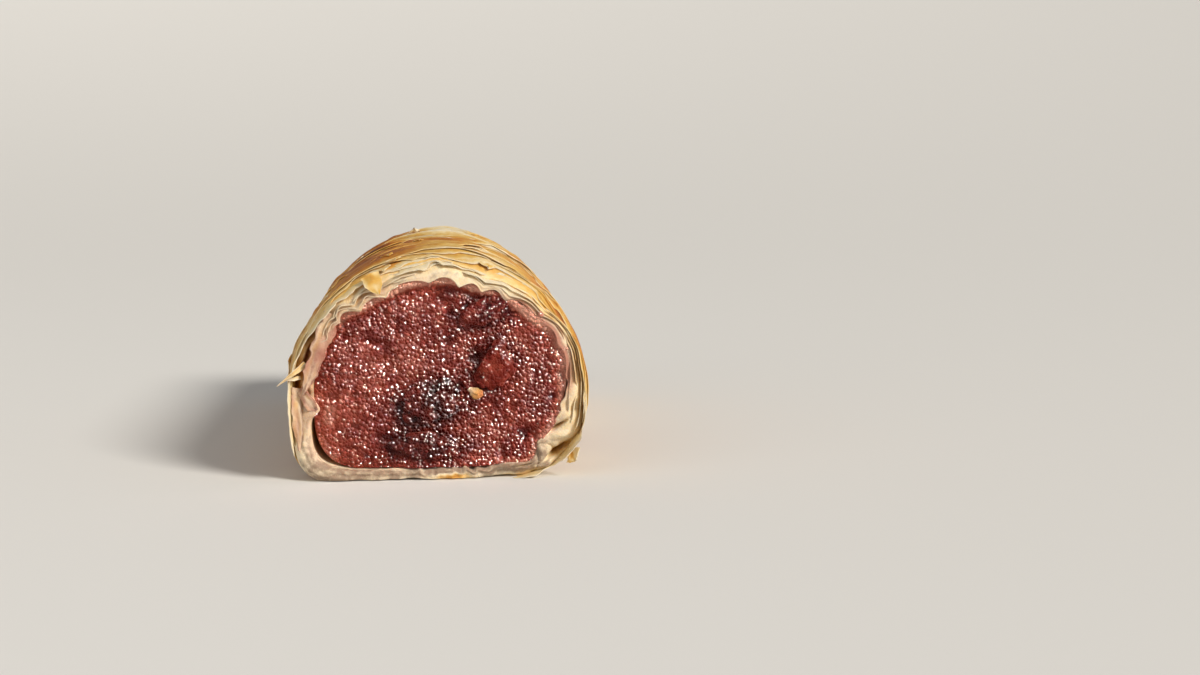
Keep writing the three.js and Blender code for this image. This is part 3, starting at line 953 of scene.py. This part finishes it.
def make_flake(name, seed, angle, y, half_width, length, slope, end_slope, brown, blunt, way):
    """A small torn scrap that stands off the skin; way is where its tip points along y."""
    piece, u, v = new_grid(name, *FLAKE_GRID)
    side = 2 * u - 1
    ragged = 1 + 0.3 * rough(seed, v * 4 + 3, side) + 0.25 * rough(seed + 5, v * 9 + 3, side)
    taper = np.clip((1.05 - v) * blunt, 0.02, 1) * ragged
    steps = np.linspace(0, 1, FLAKE_STEPS + 1)
    slopes = mix(slope, end_slope, steps)[:-1]
    forward = np.concatenate([[0], np.cumsum(np.cos(slopes))]) * length / FLAKE_STEPS
    outward = np.concatenate([[0], np.cumsum(np.sin(slopes))]) * length / FLAKE_STEPS
    around = angle + (side * taper - 0.4 * v) * half_width / ARC_RADIUS
    along = y + way * np.interp(v, steps, forward) + 0.5 * rough(seed + 1, side * 2 + 7)
    root = np.clip(along, -HALF_LENGTH + 2, HALF_LENGTH - 2)
    cup = 0.08 * side * half_width * rough(seed + 2, v * 1.5 + 5, side)
    sunk = mix(-0.4, 0.25, smooth(v * 4))
    crumple = 0.15 * rough(seed + 3, side * 3, v * 4)
    radius = skin_radius(around, root) + sunk + np.interp(v, steps, outward) + cup * v + crumple
    put_corners(piece, section_points(around, radius, along))
    paint(piece, brown=scrap_tone(seed, side, v, brown, 0.2, 0.15), stain=np.zeros_like(u))
    thicken(piece, LEAF_THICK)
    return piece


def make_scrap(name, seed, root, tip, half_width, out, brown, blunt, stain, thick):
    """A torn scrap that lies flat across the wall's end."""
    length = math.dist(root, tip)
    piece, u, v = new_grid(name, SCRAP_COLUMNS, 12 + int(2 * length))
    side = 2 * u - 1
    far = v * length
    along_x = (tip[0] - root[0]) / length
    along_z = (tip[1] - root[1]) / length
    ragged = 1 + 0.2 * rough(seed, far * 0.5 + 3, side) + 0.14 * rough(seed + 1, far * 1.4 + 3, side)
    width = half_width * np.clip((1.04 - v) * blunt, 0.03, 1) * ragged * side
    run = far + 0.3 * rough(seed + 2, side + 7)
    x = root[0] + run * along_x - width * along_z
    z = root[1] + run * along_z + width * along_x
    wave = 0.25 * rough(seed + 3, side * 1.2 + 5, far * 0.4) + 0.16 * thick * rough(seed + 5, side * 2, far)
    y = -HALF_LENGTH - mix(-SCRAP_ROOT_DEPTH, out, smooth(v * 2.2)) + wave
    put_corners(piece, np.stack([x, y, z], axis=1))
    soaked = stain * (1 + 0.6 * rough(seed + 6, side, far / 3))
    paint(piece, brown=scrap_tone(seed, side, v, brown, 0.15, 0.1), stain=soaked)
    thicken(piece, thick)
    return piece


def make_flakes():
    pieces = []
    for place, values in enumerate(ACROSS_SCRAPS):
        pieces.append(make_scrap(f"across_{place}", ACROSS_SEED + 9 * place, *values))
    for place, values in enumerate(NAMED_FLAKES):
        pieces.append(make_flake(f"flake_{place}", FLAKE_SEED + 9 * place, *values, -1))
    draw = np.random.default_rng(77)
    for place in range(FLAKE_COUNT):
        drawn = [draw.uniform(*span) for span in FLAKE_RANGES]
        angle, y, half_width, length, slope, bend, brown, blunt = drawn
        pieces.append(make_flake(f"scrap_{place}", SCRAP_SEED + 9 * place, angle, y, half_width, length,
                                 slope, slope + bend, brown, blunt, -1 if y < 0 else 1))
    return pieces


# Filling

def cherry_reach(x, z, end, only_smooth=False):
    """Smallest distance to a cherry piece of this end, 1 on its outline."""
    nearest = np.full(x.shape, 9.0)
    for at_end, cx, cz, (half_x, _, half_z), turn, mashed, _ in CHERRIES.values():
        if at_end != end or (only_smooth and mashed > SMOOTH_LIMIT):
            continue
        dx = x - cx
        dz = z - cz
        across = dx * math.cos(turn) + dz * math.sin(turn)
        up = dz * math.cos(turn) - dx * math.sin(turn)
        nearest = np.minimum(nearest, np.hypot(across / half_x, up / half_z))
    return nearest * (1 + 0.22 * field(42, 2.6, x, z))


def hole_depth(x, z, end):
    depth = np.zeros_like(x)
    wobble = 1 + 0.6 * field(41, 1.1, x, z)
    for at_end, hx, hz, radius, deep in HOLES:
        if at_end == end:
            depth += 0.6 * deep * hill(np.hypot(x - hx, 1.3 * (z - hz)), 0, radius * wobble)
    return depth


def face_radius(angle, end):
    y = np.full_like(angle, end * (HALF_LENGTH - FACE_SECTION))
    crevice = CREVICE_DEPTH * bump(angle, CREVICE_ANGLE, CREVICE_SPREAD)
    crevice = crevice * np.exp(-behind_cut(y) / CREVICE_REACH)
    return bore_radius(angle, y) - FILLING_GAP - crevice


def skin_patch(angle, rho):
    """The smooth skin on the lower left edge of the filling."""
    return bump(angle, CREVICE_ANGLE - 0.2, 0.5) * smooth((rho - 0.78) / 0.14)


def film_patch(angle, rho):
    """The smooth stained film under the arches of the lip."""
    return smooth((rho - 0.89) / 0.08) * smooth((np.sin(angle) - 0.45) / 0.3)


def flush_share(angle):
    """Where the filling meets the wall without a step, on the right and along the base."""
    right = right_side(angle, 0.7)
    base = smooth((-np.sin(angle) - 0.5) / 0.3) * smooth((np.cos(angle) + 0.55) / 0.3)
    return np.maximum(right, base)


def face_depth(x, z, rho, angle, end):
    """How far the filling's face lies behind the cut; rho is 0 in its middle and 1 at the wall."""
    shift = FACE_SHIFT * end
    lump = 0.55 * rough(43, x / 7 + shift, z / 7) + 0.25 * rough(44, x / 3 + shift, z / 3)
    flush = flush_share(angle)
    step = (1 - 0.95 * flush) * rho ** 6
    swell = (FACE_ROUNDING + FACE_SWELL) * step - FACE_SWELL * rho ** 6
    coarse = cell_distance(45, x / 1.7 + shift, z / 1.7)
    fine = cell_distance(46, x / 0.85 + shift, z / 0.85)
    grain = 0.34 * (coarse ** 2 - 0.25) + 0.2 * (fine ** 2 - 0.25)
    pits = 0.7 * smooth((rough(47, x / 2.3 + shift, z / 2.3) - 0.4) / 0.4)
    socket = 0.3 * smooth((1.15 - cherry_reach(x, z, end)) / 0.3)
    film = film_patch(angle, rho)
    calm = (1 - 0.9 * skin_patch(angle, rho)) * (1 - 0.8 * film)
    pocket = POCKET_FILL * film * (1 - 0.6 * flush)
    depth = FILLING_RECESS + swell + FACE_LUMP * (1 + lump)
    return depth + calm * (grain + pits) + socket - pocket + hole_depth(x, z, end)


def face_juice(x, z, rho, angle, end):
    """Colour of the filling, from pale pink at 0 to near black at 1."""
    shift = FACE_SHIFT * end
    patch = 0.1 * rough(51, x / 8 + shift, z / 8) + 0.1 * rough(52, x / 2.6 + shift, z / 2.6)
    near = 0.24 * smooth((1.75 - cherry_reach(x, z, end)) / 0.9)
    if end < 0:
        dark_x, dark_z, spread = DARK_PLACE
        near = near + 0.22 * hill(x, dark_x, spread) * hill(z, dark_z, spread)
    # Painted shade: the filling is painted darker in its holes.
    painted_hole_shade = 0.3 * smooth(hole_depth(x, z, end))
    pale = 0.16 * skin_patch(angle, rho) + 0.52 * film_patch(angle, rho)
    pale = pale + 0.4 * right_side(angle) * smooth((rho - 0.87) / 0.13)
    return FACE_JUICE + patch + near + painted_hole_shade - pale


def face_polar(u, v):
    """Evenly spread points of a disc from those of a square that runs from -1 to 1."""
    across = u * np.sqrt(1 - v * v / 2)
    up = v * np.sqrt(1 - u * u / 2)
    return np.hypot(across, up), np.arctan2(up, across)


def face_points(rho, angle, end):
    radius = rho * face_radius(angle, end)
    x = radius * np.cos(angle)
    z = np.maximum(WALL_BASE - BASE_PRESS, WIDEST_HEIGHT + radius * np.sin(angle))
    y = end * (HALF_LENGTH - face_depth(x, z, rho, angle, end))
    return np.stack([x, y, z], axis=1)


def face_look(rho, angle, end):
    points = face_points(rho, angle, end)
    return points, face_juice(points[:, 0], points[:, 2], rho, angle, end)


def make_face(end):
    face, u, v = new_grid(f"face_{end}", FACE_CELLS, FACE_CELLS)
    points, juice = face_look(*face_polar(2 * u - 1, 2 * v - 1), end)
    put_corners(face, points)
    paint(face, juice=juice)
    return face


def make_filling_side():
    """The mantle of the filling, whose ends follow the edges of the grids of the faces."""
    side, u, v = new_grid("filling_side", 4 * FACE_CELLS, SIDE_ROWS)
    knots = np.linspace(0, 1, 5)
    square_u = np.interp(u, knots, [-1, 1, 1, -1, -1])
    square_v = np.interp(u, knots, [-1, -1, 1, 1, -1])
    ones = np.ones_like(u)
    _, angle = face_polar(square_u, square_v)
    front, front_juice = face_look(ones, angle, -1)
    back, back_juice = face_look(ones, angle, 1)
    put_corners(side, mix(front, back, v[:, None]))
    paint(side, juice=mix(front_juice, back_juice, v))
    return side


def make_filling():
    filling = join("filling_core", [make_face(-1), make_face(1), make_filling_side()])
    close_seams(filling, 180)
    return filling


def grain_share(x, z, rho, angle, end):
    """How much of the face is covered by grains: less on cherries, little on skin, film and in holes."""
    on_cherry = smooth((1.0 - cherry_reach(x, z, end)) / 0.4)
    off_skin = np.maximum(SKIN_GRAIN_SHARE, smooth((cherry_reach(x, z, end, True) - 0.6) / 0.3))
    share = mix(GRAIN_SHARE, CHERRY_GRAIN_SHARE, on_cherry) * (1 - 0.95 * skin_patch(angle, rho))
    share = share * off_skin * (1 - smooth(hole_depth(x, z, end) / 0.6))
    return share * (1 - 0.8 * film_patch(angle, rho))


def make_grains(name, end):
    """Swollen grains that cover the face and catch the light."""
    draw = np.random.default_rng(60 + end)
    ball, base = new_ball("grain_shape", 1)
    faces = np.array([list(face.vertices) for face in ball.data.polygons])
    bpy.data.objects.remove(ball)
    steps = np.arange(-ROLL_WIDTH // 2 + 3, ROLL_WIDTH // 2 - 2, GRAIN_PITCH)
    x, z = [axis.ravel() for axis in np.meshgrid(steps, steps)]
    x = x + draw.uniform(-0.5, 0.5, x.size) * GRAIN_PITCH
    z = z + draw.uniform(-0.5, 0.5, x.size) * GRAIN_PITCH
    angle = np.arctan2(z, x)
    rho = np.hypot(x, z) / face_radius(angle, end)
    reach = cherry_reach(x, z + WIDEST_HEIGHT, end)
    edge = 0.975 + 0.06 * right_side(angle) * smooth(3 * np.sin(angle))
    share = grain_share(x, z + WIDEST_HEIGHT, rho, angle, end)
    kept = (rho < edge) & (draw.uniform(0, 1, x.size) < share)
    rho, angle, reach = rho[kept], angle[kept], reach[kept]
    count = rho.size
    centre = face_points(rho, angle, end)
    size = draw.uniform(*GRAIN_SIZE, (count, 1)) * draw.uniform(0.7, 1.3, (count, 3))
    sunk = draw.uniform(0.4, 0.9, count) * size.min(axis=1)
    centre[:, 1] += end * (CHERRY_DOME * np.sqrt(np.maximum(0, 1 - reach ** 2)) - sunk)
    turn = np.linalg.qr(draw.normal(size=(count, 3, 3)))[0]
    lumpy = base[None] * (1 + draw.uniform(-0.16, 0.16, (count, len(base), 1)))
    points = np.einsum("nij,nkj->nki", turn, lumpy * size[:, None]) + centre[:, None]
    all_faces = faces[None] + np.arange(count)[:, None, None] * len(base)
    mesh = bpy.data.meshes.new(name)
    places = (points.reshape(-1, 3) + ROLL_MIDDLE) * MM
    mesh.from_pydata(places.tolist(), [], all_faces.reshape(-1, 3).tolist())
    grains = new_object(name, mesh)
    juice = face_juice(centre[:, 0], centre[:, 2], rho, angle, end) - 0.04 + draw.uniform(-0.16, 0.12, count)
    paint(grains, juice=np.repeat(juice, len(base)))
    soften(grains, 180)
    return grains


def make_cherry(name, end, cx, cz, half_sizes, turn, mashed, dark):
    """A torn piece of a cooked cherry, set in the face with a low wrinkled dome."""
    seed = sum(map(ord, name))
    piece, ball = new_ball(f"torn_{name}", 6)
    half_x, half_y, half_z = half_sizes
    lobe = 1 + 0.2 * rough(seed, *(ball.T * 1.8 + 20)) + 0.1 * rough(seed + 1, *(ball.T * 4 + 20))
    crease = mix(0.03, 0.16, mashed) * hill(ball[:, 0] - 0.2 * ball[:, 2], 0.2, 0.12)
    shape = ball * (lobe - crease)[:, None]
    out = shape[:, 1] * end
    along = np.where(out > 0, out * CHERRY_DOME, out * half_y)
    torn_edge = mix(-0.5, -1.3, mashed) + 0.3 * shape[:, 2]
    across = np.maximum(shape[:, 0], torn_edge) * half_x
    up = shape[:, 2] * half_z
    x = cx + across * math.cos(turn) - up * math.sin(turn)
    z = cz + up * math.cos(turn) + across * math.sin(turn)
    pulp = 0.7 * (0.3 - cell_distance(seed + 5, x / 1.9, z / 1.9) ** 2)
    pulp = pulp + 0.35 * (0.3 - cell_distance(seed + 6, x / 0.9, z / 0.9) ** 2)
    veins = 0.22 * rough(seed + 2, x / 1.3, z / 1.9) + 0.06 * field(seed + 3, 0.6, x, z)
    along = along + smooth(out * 3) * (mashed * pulp + veins)
    y = end * (HALF_LENGTH - FILLING_RECESS - FACE_LUMP + along)
    put_corners(piece, np.stack([x, y, z], axis=1))
    mottled = 0.2 * rough(seed + 4, *(ball.T * 3 + 20))
    paint(piece, juice=dark + mottled - 0.25 * pulp * mashed + crease)
    close_seams(piece, 180)
    return piece


def make_nut():
    piece, ball = new_ball("nut_bit", 4)
    lumps = 1 + 0.4 * rough(71, *(ball.T * 2 + 9)) + 0.12 * rough(72, *(ball.T * 5 + 9))
    x, y, z = (ball * lumps[:, None]).T
    tilt = NUT_TILT * np.stack([z, 0 * y, -x], axis=1)
    put_corners(piece, np.array(NUT_PLACE) + np.stack([x, y, z], axis=1) * NUT_SIZE + tilt)
    paint(piece, brown=0.45 + 0.25 * x, stain=np.full(len(ball), 0.4))
    soften(piece, 180)
    return piece


# Floor, light and camera

def make_floor():
    """A pale floor, flat round the roll and rising like a shallow bowl further out."""
    floor, u, v = new_grid("floor", FLOOR_CELLS, FLOOR_CELLS)
    x = (2 * u - 1) * FLOOR_REACH
    y = (2 * v - 1) * FLOOR_REACH
    z = FLOOR_CURVE * np.maximum(0, np.hypot(x, y) - FLOOR_FLAT) ** 2
    floor.data.vertices.foreach_set("co", (np.stack([x, y, z], axis=1) * MM).ravel())
    soften(floor, 60)
    material, shader = new_material("pale_floor")
    set_inputs(shader, FLOOR_LOOK)
    floor.data.materials.append(material)


def aim(lamp, way):
    flat = math.hypot(way[0], way[1])
    lamp.rotation_euler = (math.pi / 2 + math.atan2(way[2], flat), 0, math.atan2(-way[0], way[1]))


def make_sun(name, from_way, width, strength, colour, only_glints, wet_pieces):
    light = bpy.data.lights.new(name, "SUN")
    light.angle = width
    light.energy = strength
    light.color = colour
    lamp = new_object(name, light)
    aim(lamp, [-value for value in from_way])
    if only_glints:
        lamp.visible_diffuse = False
        lamp.light_linking.receiver_collection = wet_pieces


def make_panel():
    light = bpy.data.lights.new("fill", "AREA")
    light.size = PANEL_SIZE * MM
    light.energy = PANEL_POWER
    lamp = new_object("fill", light)
    lamp.location = [value * MM for value in PANEL_PLACE]
    aim(lamp, [to - at for to, at in zip(PANEL_TARGET, PANEL_PLACE)])


def make_room():
    world = bpy.data.worlds.new("studio")
    world.use_nodes = True
    set_inputs(world.node_tree.nodes["Background"], ROOM_LOOK)
    bpy.context.scene.world = world
    bpy.context.scene.view_settings.view_transform = "Standard"


def make_camera():
    camera = bpy.data.cameras.new("camera")
    camera.sensor_width = SENSOR_WIDTH
    camera.lens = FOCAL_PIXELS / IMAGE_WIDTH * SENSOR_WIDTH
    camera.clip_start = 0.01
    eye = new_object("camera", camera)
    eye.location = [value * MM for value in CAMERA_PLACE]
    eye.rotation_euler = (math.pi / 2 + CAMERA_PITCH, 0, -CAMERA_YAW)
    bpy.context.scene.camera = eye


# The whole strudel

def build_pastry():
    finish_piece(make_core(), "pastry", dough_material)
    leaf_pieces = make_outer_leaves()
    leaf_groups = []
    for first in range(0, len(leaf_pieces), LEAVES_A_PIECE):
        leaf_groups.append(join(f"leaves_{first}", leaf_pieces[first:first + LEAVES_A_PIECE]))
    leaf_groups.append(join("loose_flakes", make_flakes()))
    for end, name in ((-1, "rim_front"), (1, "rim_back")):
        rims = [make_rim_leaf(place, *values, end) for place, values in enumerate(RIM_LEAVES)]
        leaf_groups.append(join(name, rims))
    for group in leaf_groups:
        soften(group, 50)
        finish_piece(group, "pastry", leaf_material)


def build_inside():
    """Filling, grains, cherries and nut; gives back the collection of those that are wet."""
    wet_pieces = bpy.data.collections.new("wet_pieces")
    finish_piece(make_filling(), "filling", filling_material, wet_pieces)
    for end, name in ((-1, "grains_front"), (1, "grains_back")):
        finish_piece(make_grains(name, end), "filling", grain_material, wet_pieces)
    for node, values in CHERRIES.items():
        mashed = values[5]
        material = cherry_material if mashed > SMOOTH_LIMIT else skin_material
        finish_piece(make_cherry(node, *values), node, material, wet_pieces)
    finish_piece(make_nut(), "filling", dough_material)
    return wet_pieces


build_pastry()
wet_pieces = build_inside()
make_floor()
for values in SUNS:
    make_sun(*values, wet_pieces)
make_panel()
make_room()
make_camera()
